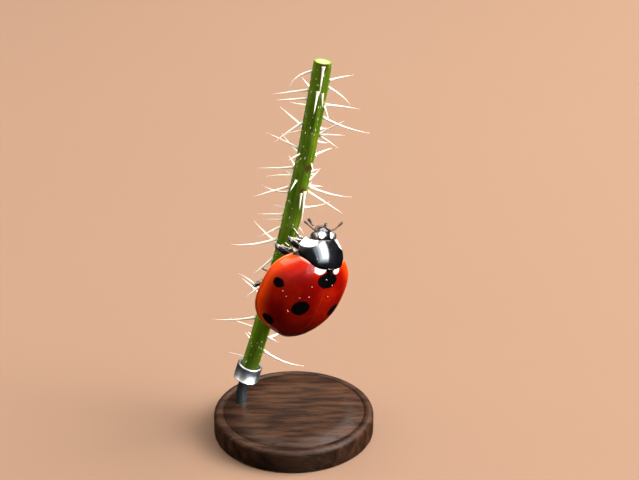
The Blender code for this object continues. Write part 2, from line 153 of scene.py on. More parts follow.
JAW = ((0.86, 0.30, -0.50), (1.00, 0.26, -0.48), (1.07, 0.08, -0.46))
JAW_GIRTH = 0.10

# Feelers: the path of each, from its root to its tip
ANTENNAE = {
    "left": ((1.50, 0.50, -0.10), (1.58, 0.78, -0.18), (1.74, 1.06, -0.32), (1.92, 1.38, -0.50)),
    "right": ((1.50, -0.50, -0.10), (1.52, -0.84, -0.16), (1.60, -1.16, -0.28), (1.98, -1.44, -0.32)),
}
ANTENNA_GIRTHS = (0.085, 0.066, 0.056, 0.052, 0.050, 0.048, 0.048, 0.054, 0.076, 0.090, 0.078)
PALPS = {
    "left": ((1.40, 0.30, -0.72), (1.52, 0.44, -0.86), (1.62, 0.56, -0.90), (1.74, 0.68, -0.90)),
    "right": ((1.26, -0.42, -0.60), (1.38, -0.50, -0.62), (1.50, -0.52, -0.63), (1.62, -0.50, -0.62)),
}
PALP_GIRTHS = (0.070, 0.080, 0.100)
HATCHET_LENGTH, HATCHET = 0.10, ((0, 0.07), (0.3, 0.09), (0.7, 0.105), (0.95, 0.10), (1, 0.075))

# Legs: the left side's hips and knees, mirrored for the right, then each foot's ankle and toe
HIPS_AND_KNEES = {
    "front": ((-0.25, 0.52, -0.50), (0.39, 1.69, -0.74)),
    "middle": ((-1.00, 0.80, -0.85), (-0.24, 2.31, -0.92)),
    "hind": ((-2.45, 0.90, -1.00), (-3.38, 2.62, -1.02)),
}
FEET = {
    "front_left": ((-0.09, 0.19, -1.13), (-0.06, 0.10, -2.40)),
    "middle_left": ((-0.91, 0.47, -1.26), (-1.12, 0.30, -2.34)),
    "hind_left": ((-2.85, 1.02, -1.28), (-2.18, 2.30, -1.22)),
    "front_right": ((-0.50, -0.80, -1.70), (-0.55, -0.45, -2.40)),
    "middle_right": ((-1.00, -1.22, -1.76), (-1.30, -0.62, -2.42)),
    "hind_right": ((-3.10, -1.24, -1.62), (-2.96, -0.78, -2.20)),
}

SHIN_DROP = 0.12  # the tibia hangs this far under the end of the femur
COXA_SIZE, TROCHANTER_SIZE = (0.24, 0.36, 0.22), (0.13, 0.13, 0.12)
FEMUR, TIBIA = (0.13, 0.235, 0.12), (0.09, 0.115, 0.11)  # radii at the root, the middle and the tip
SPUR_LEAN, SPUR_LENGTH, SPUR = 0.35, 0.13, ((0, 0.022), (0.6, 0.014), (1, 0.003))
TARSUS_ENDS = (0.0, 0.30, 0.56, 0.66, 0.98)
TARSUS_GIRTHS = ((0.065, 0.105), (0.070, 0.130), (0.045, 0.055), (0.042, 0.058))  # root, tip
CLAW_GIRTH = 0.022
BRISTLE_LENGTH, BRISTLE_SPREAD, BRISTLE_GIRTHS = (0.07, 0.14), 0.38, (0.009, 0.007, 0.002)
FRINGES = ((0.19, 170), (0.10, 150), (0.06, 60))  # femur, tibia, tarsus: radius, number of bristles

# Stem: its middle line bends in the plane y = STEM_DEPTH
STEM_RADIUS = 0.57
STEM_DEPTH = 1.0
STEM_BOTTOM, STEM_TOP = 3.6, 24.9
STEM_FOOT, STEM_LEAN, STEM_BEND = -4.19, 0.335, -0.00364
STEM_SCARS = ((24.7, 0.19, 0.34), (18.3, 0.54, 0.26), (16.8, 0.48, 0.22), (9.4, 0.12, 0.20))
STEM_SIDES, STEM_RINGS = 72, 420
STEM_RIBS, RIB_HEIGHT = 7, 0.012
# Cut ends, from the middle out: share of the radius, how far that ring is sunk
CUT_FACE = (
    (0.08, 0.05), (0.3, 0.045), (0.55, 0.035), (0.7, 0.015),
    (0.82, 0.02), (0.9, 0.01), (0.96, 0.0), (0.99, 0.004),
)
CUT_EDGE = 0.02
TUFT_PATCH = 0.003  # side of the patch of unwrap that a hair has

HAIR_GIRTH = 1.15  # of each hair, against the radius listed for it
HAIR_SUNK, HAIR_TIP = 0.03, 0.010  # how deep its root is in the stem, radius at its tip
BACK_HAIRS, DOWN_HAIRS = 34, 260

# Height, turn round the stem, length, rise at the root, rise at the tip (degrees), radius at the root
HAIRS = (
    (24.2, -90, 2.0, -20, -85, 0.07), (23.0, -95, 2.3, -18, -18, 0.07), (22.5, -85, 1.9, -12, -10, 0.07),
    (21.0, -80, 2.2, -40, -50, 0.075), (20.35, -100, 1.3, -15, -55, 0.05), (19.25, -90, 2.2, 20, 14, 0.07),
    (19.05, -50, 0.9, -18, -24, 0.05), (18.0, -95, 2.35, -18, -10, 0.07), (17.3, -110, 0.75, 30, 20, 0.05),
    (17.4, -30, 0.8, -45, -50, 0.06), (16.75, -85, 2.5, -25, -30, 0.075), (16.3, -100, 1.8, -15, 20, 0.06),
    (15.2, -100, 0.8, 8, 0, 0.05), (14.85, -90, 1.65, -12, -12, 0.065), (14.45, -95, 1.25, -12, -14, 0.045),
    (14.05, -80, 1.5, -35, -38, 0.075), (13.2, -85, 3.0, -30, -5, 0.085), (13.1, -20, 0.6, -70, -75, 0.06),
    (11.9, -80, 1.85, -55, -52, 0.08), (10.3, -80, 2.0, -55, -50, 0.08), (7.6, -90, 2.9, -26, -8, 0.08),
    (6.8, -110, 1.75, -4, -2, 0.05), (4.65, -100, 1.15, 0, -11, 0.05), (23.8, 90, 1.5, 24, 20, 0.065),
    (23.35, 95, 1.8, -20, -45, 0.065), (22.3, 80, 2.2, 7, 4, 0.07), (22.3, 60, 0.95, -55, -60, 0.06),
    (21.5, 80, 3.0, -15, 5, 0.075), (20.35, 85, 1.8, 45, 38, 0.07), (20.33, 90, 1.6, 11, 8, 0.06),
    (20.3, 95, 1.5, -24, -28, 0.06), (17.0, 85, 2.8, -12, 12, 0.075), (16.7, 80, 2.6, -18, -20, 0.07),
    (15.6, 75, 1.8, 20, 45, 0.09), (16.75, 45, 2.1, -80, -82, 0.08), (5.5, 85, 2.9, -20, 15, 0.075),
    (24.75, 5, 1.75, -82, -80, 0.07), (23.1, 30, 0.85, -75, -72, 0.06), (23.2, -4, 1.45, -70, -66, 0.07),
    (16.65, 20, 1.05, -75, -74, 0.06), (18.6, 50, 0.55, -55, -50, 0.05),
)

# Stand
BASE_CROWN, BASE_FOOT = 0.30, 0.12  # radii of the wooden base's top and bottom edges
GROOVE_INSET, GROOVE_RADIUS = 0.62, 0.05
CUP_INSIDE, CUP_OUTSIDE = STEM_RADIUS + 0.05, STEM_RADIUS + 0.25
CUP_FLOOR, CUP_SEAT, CUP_TOP = -0.35, -0.05, 0.75  # along the stem, from its cut foot
CUP_EDGE = 0.06
ROD_RADIUS, ROD_SHIFT, ROD_SUNK = 0.35, 0.34, 0.1

# Camera, light and floor
LOOK_AT = Vector((1.68, -1.09, 14.19))
VIEW_DISTANCE, VIEW_ELEVATION = 92.0, math.radians(25)
LENS, SENSOR = 85, 36
LIGHT_DISTANCE = 520.0
ROOM_BRIGHTNESS = 0.14
FLOOR_REACH, FLOOR_PAINTED_FALLOFF = 1500, (90.0, 380.0)  # painted shade: its colour darkens between these distances from the stand

# Which surfaces a light reaches: matte ones, glossy ones
LAMP, WINDOW, BOTH = (True, False), (False, True), (True, True)
# Name, azimuth, elevation, width and height, brightness of its surface, colour, reach, roll
LIGHTS = (
    ("key_window", 69, 42, (300, 560), 8.5, (0.94, 0.97, 1.0), WINDOW, -28),
    ("key_window_middle", 61, 42, (400, 640), 5.6, (0.88, 0.94, 1.0), WINDOW, -24),
    ("key_window_edge", 50, 40, (540, 680), 3.7, (0.80, 0.90, 1.0), WINDOW, -14),
    ("key_fill", 62, 42, (400, 400), 2.9, (1.0, 0.98, 0.95), LAMP, 0),
    ("top_light", 180, 80, (600, 440), 6.0, (1.0, 0.94, 0.88), BOTH, 0),
    ("back_window", 140, 46, (300, 300), 7.0, (1.0, 0.95, 0.90), WINDOW, 0),
    ("left_window", -76, 42, (260, 400), 0.5, (1.0, 0.88, 0.80), WINDOW, 0),
    ("left_rim", -106, 18, (400, 400), 5.4, (1.0, 0.94, 0.86), LAMP, 0),
    ("low_fill", -25, 20, (400, 300), 2.6, (1.0, 0.95, 0.88), LAMP, 0),
    ("right_rim", 92, 42, (400, 400), 27.0, (1.0, 0.94, 0.88), LAMP, 0),
)


# Materials


class Pattern:
    """Shader nodes under construction."""

    def __init__(self, tree):
        self.tree = tree

    def fill(self, socket, value):
        if isinstance(value, bpy.types.NodeSocket):
            self.tree.links.new(value, socket)
        else:
            socket.default_value = value

    def node(self, kind, *inputs, out=0, **settings):
        """Adds a node, fills its inputs in order or by name, and returns one of its outputs."""
        made = self.tree.nodes.new(f"ShaderNode{kind}")
        for key, value in settings.items():
            if hasattr(made, key):
                setattr(made, key, value)
            else:
                self.fill(made.inputs[key], value)
        for socket, value in zip(made.inputs, inputs):
            self.fill(socket, value)
        return made.outputs[out]

    def math(self, operation, first, second=0.0):
        return self.node("Math", first, second, operation=operation)

    def plus(self, first, second):
        return self.math("ADD", first, second)

    def times(self, first, second):
        return self.math("MULTIPLY", first, second)

    def axes(self, vector):
        return self.node("SeparateXYZ", vector).node.outputs[:3]

    def ramp(self, value, low, high):
        """0 below low, 1 above high and smooth between."""
        return self.node(
            "MapRange", value, low, high, 0.0, 1.0, interpolation_type="SMOOTHSTEP", clamp=True
        )

    def blend(self, share, first, second):
        """Colour that goes from first to second as share goes from 0 to 1."""
        made = self.tree.nodes.new("ShaderNodeMix")
        made.data_type = "RGBA"
        colours = [s for s in made.inputs if s.type == "RGBA"]
        self.fill(made.inputs[0], share)
        for socket, value in zip(colours, (first, second)):
            self.fill(socket, (*value, 1) if isinstance(value, tuple) else value)
        return next(s for s in made.outputs if s.type == "RGBA")


class Look(Pattern):
    """A material under construction. Its patterns read the point on the piece, in millimetres."""

    def __init__(self, name, roughness, **sockets):
        self.material = bpy.data.materials.new(name)
        self.material.use_nodes = True
        super().__init__(self.material.node_tree)
        self.shader = self.tree.nodes["Principled BSDF"]
        self.set("Roughness", roughness)
        for socket, value in sockets.items():
            title = socket.replace("_", " ").title().replace("Ior", "IOR")
            self.shader.inputs[title].default_value = value
        here = self.node("TexCoord", out="Object")
        self.place = self.node("VectorMath", here, operation="SCALE", Scale=1 / MM)

    def set(self, socket, value):
        """Gives a socket of the shader a value, or links it to another socket."""
        self.fill(self.shader.inputs[socket], value)

    def paint(self, share, first, second):
        """Colours the surface from first to second as share goes from 0 to 1."""
        self.set("Base Color", self.blend(share, first, second))

    def painted(self):
        """The colour that the surface has so far."""
        return self.shader.inputs["Base Color"].links[0].from_socket

    def noise(self, scale, detail=3.0, at=None):
        return self.node("TexNoise", Vector=at or self.place, Scale=scale, Detail=detail)

    def cells(self, scale):
        """Distance from the nearest of scattered points."""
        return self.node("TexVoronoi", Vector=self.place, Scale=scale)

    def charted(self):
        """The place that the mesh stores at each point."""
        return self.node("Attribute", attribute_name=PLACE, out="Vector")

    def mirrored(self):
        """The point on the piece, with both sides of the body read as the left one."""
        x, y, z = self.axes(self.place)
        return self.node("CombineXYZ", x, self.math("ABSOLUTE", y), z)

    def patch(self, at, centre, size, edge, turn=0.0):
        """1 inside an ellipsoid and 0 outside, with a soft edge that is a share of its size."""
        turned = (0, 0, math.radians(turn))
        local = self.node("Mapping", at, centre, turned, size, vector_type="TEXTURE")
        distance = self.node("VectorMath", local, operation="LENGTH", out="Value")
        return self.ramp(distance, 1 + edge, 1 - edge)

    def wobbled(self, at, amount, scale):
        """The same points, each pushed a little by noise, so that drawn edges waver."""
        colour = self.node("TexNoise", Vector=at, Scale=scale, out="Color")
        centred = self.node("VectorMath", colour, (0.5, 0.5, 0.5), operation="SUBTRACT")
        push = self.node("VectorMath", centred, operation="SCALE", Scale=amount)
        return self.node("VectorMath", at, push, operation="ADD")

    def bump(self, height, depth):
        """Relief from a height of 0 to 1, which stands for depth millimetres."""
        self.set("Normal", self.node("Bump", Strength=1.0, Distance=depth * MM, Height=height))

    def worn(self, pattern, low, high, start=0.3, stop=0.7):
        """Roughness from low to high as a pattern goes from start to stop."""
        self.set("Roughness", self.node("MapRange", pattern, start, stop, low, high))


def wing_case_look():
    look = Look(
        "wing_case_red", 0.45, specular_ior_level=0.1, coat_weight=0.55, coat_roughness=0.11, coat_ior=1.4
    )
    x, y, z = look.axes(look.place)
    cloud = look.noise(0.55, 4.0)
    fine = look.noise(9.0, 3.0)
    red = look.blend(look.ramp(cloud, 0.38, 0.64), (0.16, 0.001, 0.0001), (0.29, 0.006, 0.0003))
    red = look.blend(look.times(look.ramp(fine, 0.5, 0.75), 0.45), red, (0.10, 0.001, 0.0005))
    # Paler orange low on the dome and towards the right side (y < 0): partly the thinner cuticle near the
    # margins, partly painted light from the sides and the right; the deep red left in the dome's middle is
    # painted shade
    depth = look.plus(z, look.times(y, 0.2))
    thin = look.ramp(look.plus(depth, look.times(cloud, 0.8)), 2.0, 0.9)
    red = look.blend(thin, red, (0.66, 0.048, 0.001))
    # Lighter line along the suture: painted highlight, which also lifts the shade in the slit between the
    # wing cases
    suture_highlight = look.times(look.ramp(look.math("ABSOLUTE", y), 0.09, 0.02), 0.25)
    red = look.blend(suture_highlight, red, (0.55, 0.045, 0.010))
    # Paler orange along the low margin: painted glow of light through the thin rim
    margin = look.ramp(z, 0.16, 0.0)
    red = look.blend(look.times(margin, 0.6), red, (0.70, 0.13, 0.02))
    # Pale pink along the front edge: painted sheen, the highlight of the rounded base edge
    front = look.ramp(x, 0.04, 0.16)
    red = look.blend(look.times(front, 0.6), red, (0.80, 0.36, 0.24))

    at = look.wobbled(look.place, 0.12, 3.2)
    spots = look.patch(at, (-0.68, 0.03, 2.0), (0.50, 0.71, 1.0), 0.06)
    for centre, size, turn in SPOTS:
        middle = (*centre, dome_height(*centre))
        disc = look.patch(at, middle, size, 0.07, turn)
        spots = look.math("MAXIMUM", spots, disc)
    cream = look.patch(at, (0.00, 0.64, 1.8), (0.28, 0.42, 0.5), 0.10, 28)
    cream = look.math("MAXIMUM", cream, look.patch(at, (0.00, -0.50, 1.8), (0.28, 0.28, 0.5), 0.10, -28))
    colour = look.blend(cream, red, (0.84, 0.72, 0.56))
    look.paint(spots, colour, (0.0015, 0.001, 0.001))

    pits = look.ramp(look.cells(7.5), 0.0, 0.16)
    swell = look.noise(1.3, 2.0)
    relief = look.plus(look.times(pits, 0.35), swell)
    look.bump(relief, 0.028)
    look.worn(fine, 0.28, 0.42)
    return look


def black_look(name, roughness, tint, pit_scale, pit_depth, gloss=1.0):
    """Black cuticle with fine pits, a slight cloud of tint and a coat of a given gloss."""
    look = Look(
        name, roughness, specular_ior_level=0.15, coat_weight=gloss, coat_roughness=0.13, coat_ior=1.6
    )
    cloud = look.ramp(look.noise(1.6, 4.0), 0.4, 0.75)
    look.paint(cloud, (0.0015, 0.0015, 0.002), tint)
    pits = look.ramp(look.cells(pit_scale), 0.0, 0.30)
    grain = look.times(look.noise(pit_scale * 2.5, 2.0), 0.35)
    look.bump(look.plus(pits, grain), pit_depth)
    look.worn(cloud, roughness * 0.85, roughness * 1.3, 0.0, 1.0)
    return look


def pronotum_look():
    look = black_look("pronotum_black", 0.22, (0.004, 0.004, 0.006), 9.0, 0.004)
    place = look.wobbled(look.charted(), 0.05, 7.0)
    along, across, _ = look.axes(place)
    side = look.math("ABSOLUTE", across)
    slanted = look.plus(along, look.times(side, 0.65))
    slanted = look.math("SUBTRACT", slanted, look.times(across, 0.10))
    white = look.times(look.ramp(side, 0.57, 0.62), look.ramp(slanted, 1.145, 1.19))
    base = look.painted()
    specks = look.times(look.ramp(look.cells(2.6), 0.09, 0.06), 0.5)
    base = look.blend(specks, base, (0.45, 0.40, 0.36))
    look.paint(white, base, (0.82, 0.80, 0.76))
    return look


def head_look():
    look = black_look("head_black", 0.24, (0.006, 0.006, 0.007), 12.0, 0.005)
    at = look.wobbled(look.mirrored(), 0.05, 6.0)
    spot = look.patch(at, (1.47, 0.40, 0.36), (0.19, 0.19, 0.22), 0.1)
    base = look.painted()
    look.paint(spot, base, (0.82, 0.80, 0.74))
    return look


def eye_look():
    look = Look("eye_facets", 0.30, coat_weight=0.5, coat_roughness=0.2)
    facets = look.cells(34.0)
    # Brownish grey clouds over the black: painted sheen
    cloud = look.ramp(look.noise(5.0), 0.35, 0.7)
    base = look.blend(cloud, (0.020, 0.014, 0.013), (0.055, 0.040, 0.036))
    look.paint(look.ramp(facets, 0.3, 0.7), base, (0.008, 0.006, 0.006))
    look.bump(look.ramp(facets, 0.75, 0.0), 0.006)
    return look


def feeler_look():
    look = Look("feeler_brown", 0.42, coat_weight=0.2)
    streak = look.ramp(look.noise(6.0, 4.0), 0.35, 0.7)
    look.paint(streak, (0.020, 0.008, 0.005), (0.085, 0.030, 0.016))
    look.bump(look.noise(30.0), 0.006)
    return look


def leg_look():
    look = Look(
        "leg_black", 0.34, specular_ior_level=0.2, coat_weight=1.0, coat_roughness=0.16, coat_ior=1.7,
        sheen_weight=0.3, sheen_roughness=0.3,
    )
    wear = look.ramp(look.noise(4.0, 5.0), 0.45, 0.75)
    look.paint(wear, (0.002, 0.002, 0.002), (0.018, 0.014, 0.013))
    look.bump(look.plus(look.noise(14.0), look.cells(11.0)), 0.012)
    return look


def bristle_look():
    look = Look("bristle_grey", 0.5)
    share = look.axes(look.charted())[0]
    mottled = look.blend(look.noise(3.0), (0.50, 0.46, 0.40), (0.68, 0.64, 0.56))
    look.paint(share, mottled, (0.85, 0.80, 0.72))
    return look


def dust_look():
    look = Look("dust_pale", 0.7)
    look.paint(look.noise(20.0), (0.60, 0.32, 0.24), (0.88, 0.72, 0.64))
    look.bump(look.noise(60.0), 0.01)
    return look


def stem_look():
    look = Look("stem_green", 0.5, specular_ior_level=0.2)
    place = look.charted()
    right, ahead, _ = look.axes(place)
    radial = look.math("SQRT", look.plus(look.times(right, right), look.times(ahead, ahead)))
    streaks = look.node("Mapping", place, Scale=(4.2, 4.2, 0.35))
    fibre = look.noise(1.0, 5.0, at=streaks)
    blotch = look.noise(0.75, 4.0)
    green = look.blend(look.ramp(fibre, 0.3, 0.72), (0.036, 0.080, 0.0004), (0.088, 0.150, 0.001))
    green = look.blend(look.times(look.ramp(blotch, 0.5, 0.75), 0.6), green, (0.16, 0.20, 0.008))
    for at_height, sideways, length in STEM_SCARS:
        scar = look.patch(place, (sideways, 1.0, at_height), (0.40, 0.8, length), 0.45)
        green = look.blend(look.times(scar, 0.85), green, (0.050, 0.012, 0.006))
    flecks = look.ramp(look.cells(2.3), 0.10, 0.05)
    green = look.blend(look.times(flecks, 0.7), green, (0.30, 0.36, 0.10))
    pith = look.blend(look.ramp(radial, 0.62, 0.80), (0.26, 0.27, 0.12), (0.10, 0.17, 0.02))
    cut = look.ramp(radial, 0.955, 0.93)
    look.paint(cut, green, pith)
    look.bump(look.plus(fibre, look.times(look.cells(6.0), 0.5)), 0.02)
    look.worn(blotch, 0.38, 0.56)
    return look


def hair_look():
    look = Look("plant_hair", 0.5, specular_ior_level=0.3, sheen_weight=0.5, sheen_roughness=0.4)
    share = look.axes(look.charted())[0]
    cream = look.blend(look.noise(1.2), (0.86, 0.82, 0.70), (0.88, 0.78, 0.68))
    base = look.blend(look.ramp(share, 0.10, 0.0), cream, (0.45, 0.52, 0.25))
    look.paint(look.ramp(share, 0.55, 1.0), base, (0.72, 0.50, 0.46))
    look.bump(look.noise(9.0), 0.006)
    return look


def steel_look():
    look = Look("brushed_steel", 0.30, metallic=1.0)
    x, y, z = look.axes(look.place)
    rings = look.node("CombineXYZ", look.times(x, 0.6), look.times(y, 0.6), look.times(z, 14.0))
    brushed = look.noise(2.0, 5.0, at=rings)
    look.paint(brushed, (0.42, 0.42, 0.41), (0.56, 0.555, 0.545))
    look.worn(brushed, 0.30, 0.46)
    look.bump(brushed, 0.006)
    return look


def wood_look():
    look = Look("stained_wood", 0.5, specular_ior_level=0.12, coat_weight=0.04, coat_roughness=0.3)
    x, y, z = look.axes(look.place)
    drawn = look.node("CombineXYZ", look.times(x, 0.16), y, look.times(z, 0.7))
    grain = look.noise(2.6, 6.0, at=look.wobbled(drawn, 0.7, 0.5))
    pores = look.ramp(look.noise(11.0, 2.0, at=drawn), 0.60, 0.74)
    brown = look.blend(look.ramp(grain, 0.32, 0.70), (0.010, 0.004, 0.002), (0.034, 0.014, 0.006))
    look.paint(look.times(pores, 0.7), brown, (0.004, 0.002, 0.001))
    look.bump(look.math("SUBTRACT", grain, pores), 0.03)
    look.worn(grain, 0.42, 0.58)
    return look


# Mesh helpers


def add_object(name, bm, look):
    mesh = bpy.data.meshes.new(name)
    bm.to_mesh(mesh)
    bm.free()
    mesh.materials.append(look.material)
    made = bpy.data.objects.new(name, mesh)
    bpy.context.scene.collection.objects.link(made)
    return made


def add_piece(name, bm, look, nodes=(), pose=POSE):
    """Makes a piece from a bmesh in millimetres, in the frame that pose gives."""
    bmesh.ops.scale(bm, vec=(MM, MM, MM), verts=bm.verts)
    bmesh.ops.recalc_face_normals(bm, faces=bm.faces)
    piece = add_object(name, bm, look)
    piece.data.shade_smooth()
    piece.matrix_world = pose
    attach(piece, "root")
    if nodes:
        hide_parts(*nodes)
    return piece


def even(count):
    """Shares from 0 to 1, evenly spaced."""
    return [k / count for k in range(count + 1)]


def eased(count):
    """Shares from 0 to 1, closest together at both ends."""
    return [(1 - math.cos(math.pi * k / count)) / 2 for k in range(count + 1)]


def circle(sides):
    """Cosine and sine at the corners of a regular polygon."""
    turns = [2 * math.pi * k / sides for k in range(sides)]
    return [(math.cos(turn), math.sin(turn)) for turn in turns]


def edge_distance(grid):
    """How far each point of a grid lies from the grid's nearest edge, along its rows and columns."""
    nearest = np.full(grid.shape[:2], np.inf)
    for axis in (0, 1):
        steps = np.linalg.norm(np.diff(grid, axis=axis), axis=2)
        start = np.insert(np.cumsum(steps, axis=axis), 0, 0, axis=axis)
        total = np.take(start, [-1], axis=axis)
        nearest = np.minimum(nearest, np.minimum(start, total - start))
    return nearest


def shell(grid, thickness, places=None):
    """A closed plate with round edges, about a grid of points on its middle surface."""
    grid = np.array(grid, float)
    normal = np.cross(np.gradient(grid, axis=0), np.gradient(grid, axis=1))
    normal /= np.maximum(np.linalg.norm(normal, axis=2, keepdims=True), 1e-12)
    inward = 1 - np.clip(edge_distance(grid) / (thickness / 2), 0, 1)
    swell = (np.sqrt(1 - inward**2) * thickness / 2)[..., None]
    bm = bmesh.new()
    layer = bm.verts.layers.float_vector.new(PLACE)
    for sign in (1, -1):
        rows = []
        for i, row in enumerate(grid + normal * swell * sign):
            rows.append([bm.verts.new(point) for point in row])
            for j, vert in enumerate(rows[-1]):
                if places is not None:
                    vert[layer] = places[i][j]
        skin(bm, rows)
    bmesh.ops.remove_doubles(bm, verts=bm.verts, dist=MERGE)
    return bm


def skin(bm, rows, closed=False):
    """Faces between rows of vertices. A closed row's last vertex joins its first."""
    faces = []
    for row, following in zip(rows, rows[1:]):
        for j in range(len(row) - (0 if closed else 1)):
            k = (j + 1) % len(row)
            faces.append(bm.faces.new((row[j], row[k], following[k], following[j])))
    return faces


def cap(bm, row, point):
    """Closes a ring of vertices on a point."""
    middle = bm.verts.new(point)
    for j in range(len(row)):
        bm.faces.new((row[j], row[(j + 1) % len(row)], middle))
    return middle


def add_rings(bm, rings, place=None):
    """Skins closed rings of points and closes both ends on a point."""
    layer = bm.verts.layers.float_vector.get(PLACE) or bm.verts.layers.float_vector.new(PLACE)
    rows = []
    for i, ring in enumerate(rings):
        rows.append([bm.verts.new(point) for point in ring])
        for vert in rows[-1]:
            vert[layer] = place[i] if place else (i / (len(rings) - 1), 0, 0)
    skin(bm, rows, closed=True)
    for row in (rows[0], rows[-1]):
        middle = cap(bm, row, sum((v.co for v in row), Vector()) / len(row))
        middle[layer] = row[0][layer]
    return rows


def bend(points, steps):
    """Points along a smooth curve through the given ones (Catmull-Rom)."""
    knots = [Vector(p) for p in points]
    knots = [knots[0] * 2 - knots[1], *knots, knots[-1] * 2 - knots[-2]]
    path = []
    for a, b, c, d in zip(knots, knots[1:], knots[2:], knots[3:]):
        square = 2 * a - 5 * b + 4 * c - d
        cube = 3 * b - a - 3 * c + d
        for k in range(steps):
            t = k / steps
            path.append((2 * b + (c - a) * t + square * t**2 + cube * t**3) / 2)
    return [*path, knots[-2]]


def tube_rings(path, radii, sides, flat=(0, 0, 1), squash=1.0):
    """Rings round a path, elliptical where squash isn't 1, and then thinnest towards flat."""
    rings = []
    for i, point in enumerate(path):
        ahead = path[min(i + 1, len(path) - 1)] - path[max(i - 1, 0)]
        ahead.normalize()
        wide = ahead.cross(Vector(flat))
        if wide.length < 1e-3:
            wide = ahead.cross(Vector((1, 0, 0)))
        wide.normalize()
        thin = wide.cross(ahead)
        rings.append([point + (wide * c + thin * (squash * s)) * radii[i] for c, s in circle(sides)])
    return rings


def add_bead(bm, start, end, profile, sides, flat=(0, 0, 1), squash=1.0):
    """A turned segment between two points, with a radius (share of length, radius) profile."""
    start, end = Vector(start), Vector(end)
    path = [start.lerp(end, share) for share, _ in profile]
    add_rings(bm, tube_rings(path, [radius for _, radius in profile], sides, flat, squash))


def add_horn(bm, points, girth, taper, sides):
    """A curved horn through three points, which loses a share of its girth towards its tip."""
    add_rings(bm, tube_rings(bend(points, 5), [girth * (1 - taper * share) for share in even(10)], sides))


def spindle(root, middle, tip):
    """A rounded radius profile: root and tip radii at the ends and the middle's at the centre."""
    profile = []
    for share in eased(SPINDLE_STEPS):
        ends = root + (tip - root) * share
        girth = ends + (middle - ends) * math.sin(math.pi * share) ** 0.8
        inward = min(share, 1 - share) / SPINDLE_CAP
        if inward < 1:
            girth *= min(1.0, SPINDLE_END + math.sqrt(1 - (1 - inward) ** 2))
        profile.append((share, girth))
    return profile


def ball(bm, centre, size):
    """An ellipsoid, its half sizes along the frame's axes."""
    made = bmesh.ops.create_uvsphere(bm, u_segments=28, v_segments=18, radius=1.0)
    for vert in made["verts"]:
        vert.co = centre + vert.co * Vector(size)


# Wing cases


def half_width(t):
    """Half width of the wing cases at a share t of their length."""
    if t < WIDEST_AT:
        shrink = ((WIDEST_AT - t) / SHOULDER_REACH) ** SHOULDER_SIDE
        return CASE_HALF_WIDTH * (1 - shrink) ** (1 / SHOULDER_TOP)
    shrink = min(1.0, (t - WIDEST_AT) / (1 - WIDEST_AT)) ** TAIL_SIDE
    return CASE_HALF_WIDTH * (1 - shrink) ** (1 / TAIL_TOP)


def ridge_height(t):
    """Height of the dome's middle line at a share t of its length."""
    if t < TALLEST_AT:
        return CASE_HEIGHT * (1 - FRONT_DROP * ((TALLEST_AT - t) / TALLEST_AT) ** 2)
    shrink = min(1.0, (t - TALLEST_AT) / (1 - TALLEST_AT)) ** RIDGE_SIDE
    return CASE_HEIGHT * (1 - shrink) ** (1 / RIDGE_TOP)


def dome_height(x, y):
    """Height of the wing cases' outer surface over a point seen from above."""
    t = -x / CASE_LENGTH
    across = min(abs(y) / half_width(t), 1.0)
    return ridge_height(t) * (1 - across**SECTION_SIDE) ** (1 / SECTION_TOP)


def outward(t):
    """The direction out of the wing cases' outline, seen from above, at a share t of their length."""
    before, after = max(t - NUDGE, 0.0), min(t + NUDGE, 1.0)
    slope = (half_width(after) - half_width(before)) / ((after - before) * CASE_LENGTH)
    return Vector((slope, 1, 0)).normalized()


def seam_offset(x):
    """Half the opening between the wing cases, which widens round the scutellum."""
    opening = (SHIELD_HALF_WIDTH + SEAM) * (1 + x / (SHIELD_LENGTH + 2 * SEAM))
    return max(SEAM, opening)


def front_curve(t, across):
    """How far a point moves forward, because the front edge isn't straight across the body."""
    reach = FRONT_REACH * max(0.0, 1 - t / FRONT_FADE) ** 2
    cut = reach + SHOULDER_CUT * max(0.0, 1 - t / CUT_FADE) ** 2
    rise = min(1.0, max(0.0, (across - FRONT_FROM) / FRONT_RISE))
    return reach * rise * rise * (3 - 2 * rise) - cut * across**CUT_POWER


def case_profile(t):
    """The left wing case's middle surface across the body: seam, dome, margin, fold beneath."""
    out = outward(t)
    edge = Vector((-CASE_LENGTH * t + front_curve(t, 1.0), half_width(t), 0))
    base = edge - out * FLANGE
    ridge_x = -(CASE_LENGTH - FLANGE) * t
    seam = seam_offset(ridge_x)
    reach = max(base.y, seam)
    lean = base.x - front_curve(t, 1.0) - ridge_x
    points = []
    for share in eased(CASE_COLUMNS):
        y = seam + (reach - seam) * share
        across = min(y / reach, 1.0)
        rise = (1 - across**SECTION_SIDE) ** (1 / SECTION_TOP)
        x = ridge_x + lean * across**2 + front_curve(t, across)
        points.append(Vector((x, y, ridge_height(t) * rise + BASE_LIFT * across)))
    points.append(base + out * FLANGE * 0.3 + UP * GUTTER_LIFT)
    turn_centre = edge - out * EDGE_RADIUS
    for share in even(EDGE_STEPS):
        angle = math.pi * (0.5 - share)
        lift = EDGE_RADIUS * math.sin(angle) - EDGE_SINK
        points.append(turn_centre + out * EDGE_RADIUS * math.cos(angle) + UP * lift)
    fold = UNDERFOLD * (1 - t) ** 0.6 + UNDERFOLD_LEAST
    for share in even(EDGE_STEPS)[1:]:
        inward = 1 - (1 - share) ** 2
        rise = FOLD_RISE * inward**2 - EDGE_RADIUS - EDGE_SINK
        points.append(turn_centre - out * fold * inward + UP * rise)
    return points


def wing_cases(look):
    rows = [case_profile(t) for t in eased(CASE_ROWS)]
    for side, name in SIDES:
        grid = [[(p.x, max(p.y, SEAM) * side, p.z) for p in row] for row in rows]
        add_piece(f"wing_case_{name}", shell(grid, CASE_THICKNESS), look, [f"elytron_{name}"])


